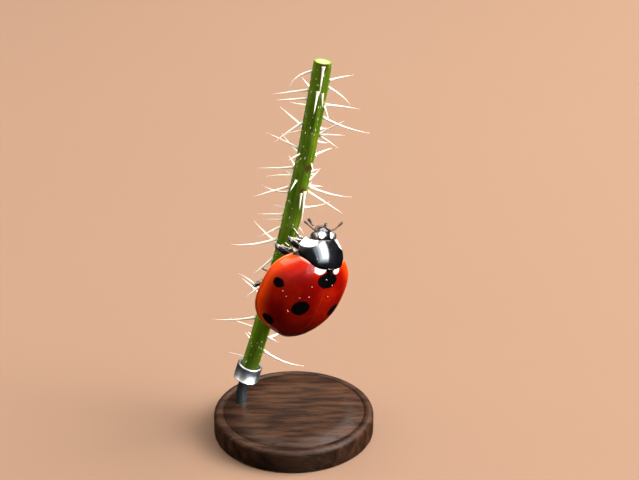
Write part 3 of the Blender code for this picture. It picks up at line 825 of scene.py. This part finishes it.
def scutellum(look):
    rows = []
    for share in eased(16):
        x = SHIELD_FRONT - (SHIELD_LENGTH + 3 * SHIELD_CLEARANCE) * share
        half = (SHIELD_HALF_WIDTH - SHIELD_CLEARANCE) * (1 - share) ** 0.9 + SHIELD_POINT
        row = []
        for across in eased(14):
            y = half * (2 * across - 1)
            bulge = SHIELD_CROWN * math.sin(math.pi * across) * (1 - share)
            row.append((x, y, SHIELD_HEIGHT + SHIELD_CLIMB * share + bulge))
        rows.append(row)
    add_piece("scutellum_shield", shell(rows, SHIELD_THICKNESS), look, ["scutellum"])


def dust(look):
    """Pale grains that have settled on the wing cases."""
    bm = bmesh.new()
    chance = random.Random(5)
    for x, y in DUST_PLACES:
        size = chance.uniform(0.020, 0.035)
        centre = Vector((x, y, dome_height(x, y) + CASE_THICKNESS / 2))
        made = bmesh.ops.create_icosphere(bm, subdivisions=2, radius=1.0)
        for vert in made["verts"]:
            vert.co = centre + vert.co * size * chance.uniform(0.75, 1.15)
    add_piece("dust_grains", bm, look)


# Trunk


def trunk_ring(x, belly, inset):
    """A cross-section of the trunk, which fills the room under the wing cases."""
    t = -x / CASE_LENGTH
    width = half_width(t) - inset
    height = ridge_height(t) - inset
    ring = []
    for aside, rise in circle(TRUNK_SIDES):
        z = height * 0.9 * rise if rise > 0 else -belly * abs(rise) ** 0.8
        ring.append((x, width * aside, z))
    return ring


def trunk(look):
    bm = bmesh.new()
    rings = []
    for share in even(40):
        x = THORAX_START + (WAIST - THORAX_START) * share
        keel = KEEL * abs(math.sin(2.5 * math.pi * share)) ** 0.4
        belly = CHEST_DEPTH + CHEST_SWELL * min(1.0, 2.2 * share) + keel
        rings.append(trunk_ring(x, belly, 0.42 + 0.3 * (1 - share) ** 4))
    add_rings(bm, rings)
    add_piece("thorax_underside", bm, look, ["thorax"])
    bm = bmesh.new()
    rings = []
    for share in even(96):
        x = WAIST - WAIST_OVERLAP + (ABDOMEN_END - WAIST) * share
        within = share * SEGMENTS % 1.0
        step = SEGMENT_STEP * (1 - within) ** 6 + SEGMENT_SLOPE * within
        depth = BELLY_DEPTH * (1 - BELLY_TAPER * share**3)
        rings.append(trunk_ring(x, depth - step, 0.46 - 0.2 * share))
    add_rings(bm, rings)
    add_piece("abdomen_segments", bm, look, ["abdomen"])


# Pronotum


def centre_line(u):
    """The pronotum's ridge, from its rear edge (u = 0) to its front edge (u = 1)."""
    chord = PRONOTUM_FRONT - PRONOTUM_REAR
    normal = Vector((-chord.z, 0, chord.x)).normalized()
    return PRONOTUM_REAR + chord * u + normal * (PRONOTUM_CROWN * 4 * u * (1 - u))


def side_line(u):
    """The pronotum's left margin, from its hind corner to its front corner beside the eye."""
    x = 0.07 + 0.97 * u**1.1
    y = 1.57 + 0.41 * u - 0.92 * u**2.4
    z = 0.53 - 0.66 * u**0.9
    return Vector((x, y, z))


def margin_outward(u):
    """The direction out of the pronotum's left margin, seen from above."""
    run = side_line(min(u + 0.02, 1.0)) - side_line(max(u - 0.02, 0.0))
    return Vector((-run.y, run.x, 0)).normalized()


def pronotum_row(u):
    """Points across the pronotum from its right margin to its left, each with its (u, v) place."""
    ridge, margin, out = centre_line(u), side_line(u), margin_outward(u)
    margin = margin - out * PRONOTUM_FLANGE
    row = []
    for share in even(PRONOTUM_COLUMNS):
        v = math.sin(math.pi / 2 * (2 * share - 1))
        fall = 1 - (1 - abs(v) ** PRONOTUM_SIDE) ** (1 / PRONOTUM_TOP)
        x = ridge.x + (margin.x - ridge.x) * abs(v) ** PRONOTUM_SWEEP
        row.append((Vector((x, margin.y * v, ridge.z + (margin.z - ridge.z) * fall)), v))
    for step, lift in PRONOTUM_RIM:
        edge = margin + out * PRONOTUM_FLANGE * step + UP * lift
        row.append((edge, 1.0))
        row.insert(0, (Vector((edge.x, -edge.y, edge.z)), -1.0))
    return row


def pronotum(look):
    table = [(u, pronotum_row(u)) for u in eased(PRONOTUM_ROWS)]
    grid = [[point for point, _ in row] for _, row in table]
    places = [[(u, v, 0) for _, v in row] for u, row in table]
    bm = shell(grid, PRONOTUM_THICKNESS, places)
    add_piece("pronotum_plate", bm, look, ["pronotum"])


def prothorax(look):
    bm = bmesh.new()
    rings = []
    for x, centre_z, half_y, half_z in PROTHORAX_RINGS:
        rings.append([(x, half_y * c, centre_z + half_z * s) for c, s in circle(36)])
    add_rings(bm, rings)
    bmesh.ops.subdivide_edges(bm, edges=bm.edges[:], cuts=1, smooth=0.5)
    add_piece("prothorax_trunk", bm, look, ["prothorax"])


# Head


def face_point(down, across, out):
    return PRONOTUM_FRONT + FACE_DOWN * down + Vector((0, across, 0)) + FACE_OUT * out


def head(look):
    bm = bmesh.new()
    made = bmesh.ops.create_uvsphere(bm, u_segments=56, v_segments=36, radius=1.0)
    for vert in made["verts"]:
        d, a, o = vert.co
        narrow = 1 - HEAD_TAPER * max(d, 0) ** 1.6
        beside = (abs(a) - DENT_ACROSS[0]) / DENT_ACROSS[1]
        below = (d - DENT_DOWN[0]) / DENT_DOWN[1]
        dent = DENT_DEPTH * math.exp(-(beside**2) - below**2)
        vert.co = face_point(
            HEAD_CENTRE.x + d * HEAD_SIZE.x,
            a * HEAD_SIZE.y * narrow,
            HEAD_CENTRE.z + o * (HEAD_SIZE.z - dent),
        )
    add_piece("head_capsule", bm, look, ["head"])


def face_plate(name, look, downs, halves, outs, thickness, crown):
    """A small plate on the lower face. Places and half widths are at its top and its lower edge."""
    rows = []
    for share in eased(12):
        half = halves[0] + (halves[1] - halves[0]) * share
        row = []
        for across in eased(20):
            v = 2 * across - 1
            down = downs[0] + (downs[1] - downs[0]) * share * (1 - 0.12 * v * v)
            out = outs[0] + (outs[1] - outs[0]) * share**1.5 - crown * v * v
            row.append(face_point(down, half * v, out))
        rows.append(row)
    add_piece(name, shell(rows, thickness), look)


def mouth(shiny, brown):
    face_plate("clypeus", shiny, (0.66, 0.93), (0.40, 0.31), (-0.05, -0.24), 0.06, 0.10)
    face_plate("upper_lip", brown, (0.92, 1.04), (0.25, 0.20), (-0.27, -0.38), 0.05, 0.06)
    bm = bmesh.new()
    for side in (1, -1):
        hook = [face_point(down, side * across, out) for down, across, out in JAW]
        add_horn(bm, hook, JAW_GIRTH, 0.8, 12)
    add_piece("mandibles", bm, brown)


def eyes(look):
    for side, name in SIDES:
        bm = bmesh.new()
        made = bmesh.ops.create_icosphere(bm, subdivisions=5, radius=1.0)
        for vert in made["verts"]:
            spot = vert.co * EYE_SIZE
            vert.co = face_point(EYE_CENTRE.x + spot.x, side * EYE_CENTRE.y + spot.y, EYE_CENTRE.z + spot.z)
        add_piece(f"compound_eye_{name}", bm, look, [f"eye_{name}"])


def along(points, count):
    """Points evenly spaced along a bent path."""
    path = bend(points, 12)
    runs = [0.0]
    for a, b in zip(path, path[1:]):
        runs.append(runs[-1] + (b - a).length)
    spots = []
    for share in even(count):
        goal = runs[-1] * share
        i = max(k for k in range(len(path)) if runs[k] <= goal + 1e-9)
        i = min(i, len(path) - 2)
        spots.append(path[i].lerp(path[i + 1], (goal - runs[i]) / (runs[i + 1] - runs[i])))
    return spots


def antennae(look):
    """Eleven segments each: a stout root, a thin stalk and a club of three."""
    for side, path in ANTENNAE.items():
        bm = bmesh.new()
        spots = along(path, len(ANTENNA_GIRTHS))
        for start, end, girth in zip(spots, spots[1:], ANTENNA_GIRTHS):
            add_bead(bm, start, end.lerp(start, 0.03), spindle(girth * 0.55, girth, girth * 0.8), 12)
        add_piece(f"feeler_{side}", bm, look, [f"antenna_{side}"])


def palps(look):
    """Four segments each, the last one broad and flat like a hatchet."""
    for side, path in PALPS.items():
        bm = bmesh.new()
        spots = [Vector(p) for p in path]
        for start, end, girth in zip(spots, spots[1:], PALP_GIRTHS):
            add_bead(bm, start, end, spindle(girth * 0.6, girth, girth * 0.9), 14)
        tip = spots[-1]
        ahead = (spots[-1] - spots[-2]).normalized()
        add_bead(bm, tip, tip + ahead * HATCHET_LENGTH, HATCHET, 16, squash=0.5)
        add_piece(f"mouth_palp_{side}", bm, look, [f"palp_{side}"])


# Legs


def add_bristles(bm, chance, start, end, girth, count):
    """A fringe along the leading edge of a leg's segment."""
    direction = (end - start).normalized()
    leading = (Vector((1, 0, 0)) - direction * direction.x).normalized()
    behind = direction.cross(leading)
    for _ in range(count):
        share = chance.uniform(0.12, 0.97)
        turn = chance.gauss(0, BRISTLE_SPREAD)
        sideways = leading * math.cos(turn) + behind * math.sin(turn)
        full = math.sin(math.pi * min(max(share, 0.2), 0.8)) ** 0.5
        root = start.lerp(end, share) + sideways * girth * full * 0.92
        lie = (direction + sideways * 0.30).normalized()
        length = chance.uniform(*BRISTLE_LENGTH)
        path = [root, root + lie * length * 0.5, root + (lie + direction * 0.4).normalized() * length]
        add_rings(bm, tube_rings(path, BRISTLE_GIRTHS, 4))


def leg(name, ankle, toe, look, claw_look, bristles):
    row, side = name.split("_")
    mirror = Vector((1, 1 if side == "left" else -1, 1))
    hip, knee = (Vector(p) * mirror for p in HIPS_AND_KNEES[row])
    ankle, toe = Vector(ankle), Vector(toe)
    plane = (knee - hip).cross(ankle - knee).normalized()
    shin, sole = (ankle - knee).normalized(), (toe - ankle).normalized()

    bm = bmesh.new()
    ball(bm, hip.lerp(Vector((hip.x, 0, hip.z + 0.1)), 0.25), COXA_SIZE)
    ball(bm, hip.lerp(knee, 0.06), TROCHANTER_SIZE)
    add_bead(bm, hip.lerp(knee, 0.02), knee, spindle(*FEMUR), 20, plane, 0.80)
    add_piece(f"leg_femur_{name}", bm, look, [f"femur_{name}"])

    bm = bmesh.new()
    shin_start = knee + shin * 0.02 - UP * SHIN_DROP
    add_bead(bm, shin_start, ankle, spindle(*TIBIA), 16, plane, 0.8)
    for lean in (SPUR_LEAN, -SPUR_LEAN):
        spur = ankle + shin.lerp(plane * lean, 0.5) * SPUR_LENGTH
        add_bead(bm, ankle - shin * 0.03, spur, SPUR, 8)
    add_piece(f"leg_tibia_{name}", bm, look, [f"tibia_{name}"])

    bm = bmesh.new()
    spots = [ankle.lerp(toe, share) for share in TARSUS_ENDS]
    for start, end, (root, tip) in zip(spots, spots[1:], TARSUS_GIRTHS):
        profile = [(0, root * 0.7), (0.15, root), (0.75, tip), (0.95, tip * 0.85), (1, tip * 0.4)]
        add_bead(bm, start, end, profile, 12, plane, 0.7)
    add_piece(f"leg_tarsus_{name}", bm, look, [f"tarsus_{name}"])

    bm = bmesh.new()
    base = toe - sole * 0.03
    for lean in (1, -1):
        middle = base + sole * 0.07 + plane * lean * 0.05
        point = base + sole * 0.10 + plane * lean * 0.08 - plane.cross(sole) * 0.06
        add_horn(bm, [base, middle, point], CLAW_GIRTH, 0.85, 8)
    add_piece(f"claws_{name}", bm, claw_look)

    chance = random.Random(name)
    segments = ((hip, knee), (shin_start, ankle), (ankle, toe))
    for (start, end), (girth, count) in zip(segments, FRINGES):
        add_bristles(bristles, chance, start, end, girth, count)


def legs(look, claw_look, bristle):
    bristles = bmesh.new()
    for name, (ankle, toe) in FEET.items():
        leg(name, ankle, toe, look, claw_look, bristles)
    add_piece("leg_bristles", bristles, bristle)


# Stem and its hairs


def stem_point(z):
    return Vector((STEM_FOOT + STEM_LEAN * z + STEM_BEND * z * z, STEM_DEPTH, z))


def stem_direction(z):
    return Vector((STEM_LEAN + 2 * STEM_BEND * z, 0, 1)).normalized()


def stem_outward(z, turn):
    """Out of the stem at a height: turn 0 is the side towards the viewer and 90 its right."""
    along_stem = stem_direction(z)
    right = Vector((along_stem.z, 0, -along_stem.x))
    return Vector((0, -math.cos(turn), 0)) + right * math.sin(turn)


def stem_girth(z, turn):
    """Radius of the stem: shallow ribs that wander, and slow swells along it."""
    drift = 0.25 * math.sin(0.31 * z) + 0.12 * math.sin(0.83 * z + 1.0)
    ribs = RIB_HEIGHT * math.sin(STEM_RIBS * turn + drift * 4)
    swell = 0.012 * math.sin(0.9 * z + 0.5) + 0.006 * math.sin(2.3 * z + 2 * turn)
    return STEM_RADIUS - RIB_HEIGHT + ribs + swell


def stem_ring(z, share, sunk):
    """The stem's cross-section at a share of its girth, sunk a little along the stem."""
    points = []
    for k in range(STEM_SIDES):
        turn = 2 * math.pi * k / STEM_SIDES
        rough = sunk * (1 + 0.3 * math.sin(5 * turn + 9 * share))
        out = stem_outward(z, turn) * (stem_girth(z, turn) * share)
        points.append(stem_point(z) + out - stem_direction(z) * rough)
    return points


def stem(look):
    levels = [(STEM_BOTTOM, share, -sunk) for share, sunk in CUT_FACE]
    for share in even(STEM_RINGS):
        sunk = CUT_EDGE if share in (0, 1) else 0.0
        levels.append((STEM_BOTTOM + (STEM_TOP - STEM_BOTTOM) * share, 1.0, sunk))
    levels += [(STEM_TOP, share, sunk) for share, sunk in reversed(CUT_FACE)]
    bm = bmesh.new()
    layer = bm.verts.layers.float_vector.new(PLACE)
    rows = []
    for z, share, sunk in levels:
        rows.append([bm.verts.new(point) for point in stem_ring(z, share, sunk)])
        for vert, (c, s) in zip(rows[-1], circle(STEM_SIDES)):
            vert[layer] = (share * s, share * c, z)
    skin(bm, rows, closed=True)
    for row in (rows[0], rows[-1]):
        bm.faces.new(row)
    add_piece("stem_perch", bm, look, ["perch_stem"], STILL)


def add_hair(bm, z, turn, length, rise, tip_rise, radius, steps=14, sides=8):
    """A tapering hair with a swollen root. Its UV patch sits at its root's place on the stem."""
    out = stem_outward(z, turn)
    lengthwise = stem_direction(z)
    point = stem_point(z) + out * (stem_girth(z, turn) - HAIR_SUNK)
    radius *= HAIR_GIRTH
    path, radii = [point], [radius * 1.5]
    for share in even(steps)[1:]:
        angle = rise + (tip_rise - rise) * share**1.4
        point = point + (out * math.cos(angle) + lengthwise * math.sin(angle)) * (length / steps)
        path.append(point)
        bulb = 0.5 * math.exp(-((share / 0.08) ** 2))
        radii.append(max(radius * (1 - share) ** 0.75 + radius * bulb, HAIR_TIP))
    rows = add_rings(bm, tube_rings(path, radii, sides, flat=(0.1, 1, 0.05)))
    corner = (turn / (2 * math.pi) % 1.0, (z - STEM_BOTTOM) / (STEM_TOP - STEM_BOTTOM))
    lay_patch(bm, rows, corner)


def lay_patch(bm, rows, corner):
    """Lays a hair's faces on its own small patch of the unwrap."""
    layer = bm.loops.layers.uv.get(UV_NAME) or bm.loops.layers.uv.new(UV_NAME)
    left, low = corner[0] * (1 - TUFT_PATCH), corner[1] * (1 - TUFT_PATCH)
    spots = {}
    for i, row in enumerate(rows):
        for j, vert in enumerate(row):
            spots[vert] = (left + TUFT_PATCH * j / len(row), low + TUFT_PATCH * i / len(rows))
    for vert in spots:
        for face in vert.link_faces:
            for loop in face.loops:
                loop[layer].uv = spots.get(loop.vert, (left, low))


def hairs(look):
    bm = bmesh.new()
    for z, turn, length, rise, tip_rise, radius in HAIRS:
        turn, rise, tip_rise = map(math.radians, (turn, rise, tip_rise))
        add_hair(bm, z, turn, length, rise, tip_rise, radius)
    chance = random.Random(11)
    for _ in range(BACK_HAIRS):
        turn = math.radians(chance.uniform(125, 235))
        rise = math.radians(chance.uniform(-45, 20))
        tip_rise = rise + math.radians(chance.uniform(-15, 20))
        z = chance.uniform(5.2, 24.5)
        length = chance.uniform(1.2, 2.6)
        add_hair(bm, z, turn, length, rise, tip_rise, chance.uniform(0.05, 0.08))
    add_piece("stem_hairs", bm, look, pose=STILL)
    bm = bmesh.new()
    for _ in range(DOWN_HAIRS):
        z = chance.uniform(4.4, STEM_TOP)
        turn = chance.uniform(0, 2 * math.pi)
        rise = math.radians(chance.uniform(-75, -25))
        length = chance.uniform(0.08, 0.22)
        add_hair(bm, z, turn, length, rise, rise, chance.uniform(0.006, 0.011), 4, 5)
    add_piece("stem_down", bm, look, pose=STILL)


# Stand


def add_turned(bm, profile, sides):
    """A shape turned about Z from a profile of radii and heights that starts and ends on the axis."""
    corners = circle(sides)
    rows = []
    for radius, height in profile[1:-1]:
        rows.append([bm.verts.new((radius * c, radius * s, height)) for c, s in corners])
    skin(bm, rows, closed=True)
    for row, (_, height) in ((rows[0], profile[0]), (rows[-1], profile[-1])):
        cap(bm, row, (0, 0, height))


def arc(centre, radius, start, stop, steps):
    """Points (radius, height) round a quarter or other part of a circle, in degrees."""
    points = []
    for share in even(steps):
        angle = math.radians(start + (stop - start) * share)
        points.append((centre[0] + radius * math.cos(angle), centre[1] + radius * math.sin(angle)))
    return points


def stand_base(look):
    radius, _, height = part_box("stand_base")[1] / MM
    profile = [(0, height), (0.2, height), (radius * 0.6, height - 0.001)]
    profile += arc((radius - GROOVE_INSET, height), GROOVE_RADIUS, 180, 360, 8)
    profile += arc((radius - BASE_CROWN, height - BASE_CROWN), BASE_CROWN, 90, 0, 10)
    profile += arc((radius - BASE_FOOT, BASE_FOOT), BASE_FOOT, 0, -90, 6)
    profile += [(0.2, 0), (0, 0)]
    bm = bmesh.new()
    add_turned(bm, profile, 128)
    base = add_piece("stand_wooden_base", bm, look, ["stand_base"], STILL)
    base.visible_glossy = False


def stand_metal(look):
    """The cup that holds the stem's foot, and the bent rod that carries it."""
    foot, axis = stem_point(STEM_BOTTOM), stem_direction(STEM_BOTTOM)
    lip = (CUP_OUTSIDE - CUP_INSIDE) / 2
    profile = [(0, CUP_SEAT), (CUP_INSIDE * 0.5, CUP_SEAT), (CUP_INSIDE, CUP_SEAT)]
    profile += [(CUP_INSIDE, CUP_TOP - lip), *arc((CUP_INSIDE + lip, CUP_TOP - lip), lip, 180, 0, 10)]
    profile += [(CUP_OUTSIDE, CUP_FLOOR + CUP_EDGE)]
    profile += arc((CUP_OUTSIDE - CUP_EDGE, CUP_FLOOR + CUP_EDGE), CUP_EDGE, 0, -90, 5)
    profile += [(0.3, CUP_FLOOR), (0, CUP_FLOOR)]
    bm = bmesh.new()
    add_turned(bm, profile, 72)
    turn = UP.rotation_difference(axis).to_matrix().to_4x4()
    pose = Matrix.Translation(foot * MM) @ turn
    add_piece("stand_steel_collar", bm, look, ["stand_collar"], pose)

    under = foot + axis * (CUP_FLOOR - 0.02)
    base_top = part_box("stand_base")[1].z / MM
    lowest = Vector((under.x - ROD_SHIFT, STEM_DEPTH, base_top - ROD_SUNK))
    path = bend([lowest, lowest + Vector((0.02, 0, 0.35)), under - axis * 0.8, under], 10)
    bm = bmesh.new()
    add_rings(bm, tube_rings(path, [ROD_RADIUS] * len(path), 32, flat=(0, 1, 0)))
    add_piece("stand_steel_rod", bm, look, ["stand_rod"], STILL)


# Camera, light and floor


def aim(obj, place, target):
    obj.location = place * MM
    obj.rotation_euler = (target - place).to_track_quat("-Z", "Y").to_euler()
    bpy.context.scene.collection.objects.link(obj)


def camera():
    lens = bpy.data.cameras.new("camera")
    lens.lens = LENS
    lens.sensor_width = SENSOR
    lens.clip_start = 0.005
    made = bpy.data.objects.new("camera", lens)
    back = Vector((0, -math.cos(VIEW_ELEVATION), math.sin(VIEW_ELEVATION)))
    aim(made, LOOK_AT + back * VIEW_DISTANCE, LOOK_AT)
    bpy.context.scene.camera = made


def softbox(name, azimuth, elevation, size, brightness, colour, reach, roll):
    """A soft rectangular light, aimed at the ladybird.

    Azimuth 0 is the camera's side and 90 its right. Roll turns it in its own plane.
    """
    lamp = bpy.data.lights.new(name, "AREA")
    lamp.shape = "RECTANGLE"
    lamp.size, lamp.size_y = size[0] * MM, size[1] * MM
    lamp.energy = brightness * math.pi * lamp.size * lamp.size_y
    lamp.color = colour
    az, el = math.radians(azimuth), math.radians(elevation)
    direction = Vector((math.sin(az) * math.cos(el), -math.cos(az) * math.cos(el), math.sin(el)))
    made = bpy.data.objects.new(name, lamp)
    made.visible_diffuse, made.visible_glossy = reach
    aim(made, LOOK_AT + direction * LIGHT_DISTANCE, LOOK_AT)
    made.rotation_euler.rotate_axis("Z", math.radians(roll))


def world():
    """A plain studio room: pale overhead, dim towards the floor."""
    made = bpy.data.worlds.new("studio")
    made.use_nodes = True
    room = Pattern(made.node_tree)
    height = room.axes(room.node("TexCoord", out="Generated"))[2]
    background = made.node_tree.nodes["Background"]
    grey = room.blend(room.ramp(height, -0.1, 0.9), (0.05, 0.045, 0.04), (0.75, 0.78, 0.82))
    room.fill(background.inputs["Color"], grey)
    background.inputs["Strength"].default_value = ROOM_BRIGHTNESS
    bpy.context.scene.world = made


def floor():
    look = Look("studio_floor", 0.75, specular_ior_level=0.05)
    pale = look.blend(look.noise(0.02, 3.0), (0.145, 0.091, 0.062), (0.152, 0.096, 0.066))
    x, y, _ = look.axes(look.place)
    radius = look.math("SQRT", look.plus(look.times(x, x), look.times(y, y)))
    # Painted shade: the colour darkens away from the stand, as if less light reached the floor there
    far = look.times(look.ramp(radius, *FLOOR_PAINTED_FALLOFF), 0.8)
    look.paint(far, pale, (0.036, 0.023, 0.016))
    bm = bmesh.new()
    bmesh.ops.create_grid(bm, x_segments=1, y_segments=1, size=FLOOR_REACH * MM)
    made = add_object("floor", bm, look)
    made.visible_glossy = False
    made.visible_diffuse = False


cuticle = black_look("black_cuticle", 0.28, (0.005, 0.004, 0.004), 9.0, 0.006)
underside = black_look("underside_black", 0.5, (0.022, 0.017, 0.015), 8.0, 0.02, 0.25)
# Palps: a paler grey cloud over the black, painted highlight that stands in for their bright glints
palp_painted_highlight = black_look("palp_painted_highlight", 0.30, (0.10, 0.09, 0.08), 9.0, 0.004)
brown = feeler_look()

wing_cases(wing_case_look())
scutellum(cuticle)
dust(dust_look())
trunk(underside)
pronotum(pronotum_look())
prothorax(cuticle)
head(head_look())
mouth(cuticle, brown)
eyes(eye_look())
antennae(brown)
palps(palp_painted_highlight)
legs(leg_look(), brown, bristle_look())
stem(stem_look())
hairs(hair_look())
stand_base(wood_look())
stand_metal(steel_look())
camera()
for light in LIGHTS:
    softbox(*light)
world()
floor()
bpy.context.scene.view_settings.view_transform = "Standard"
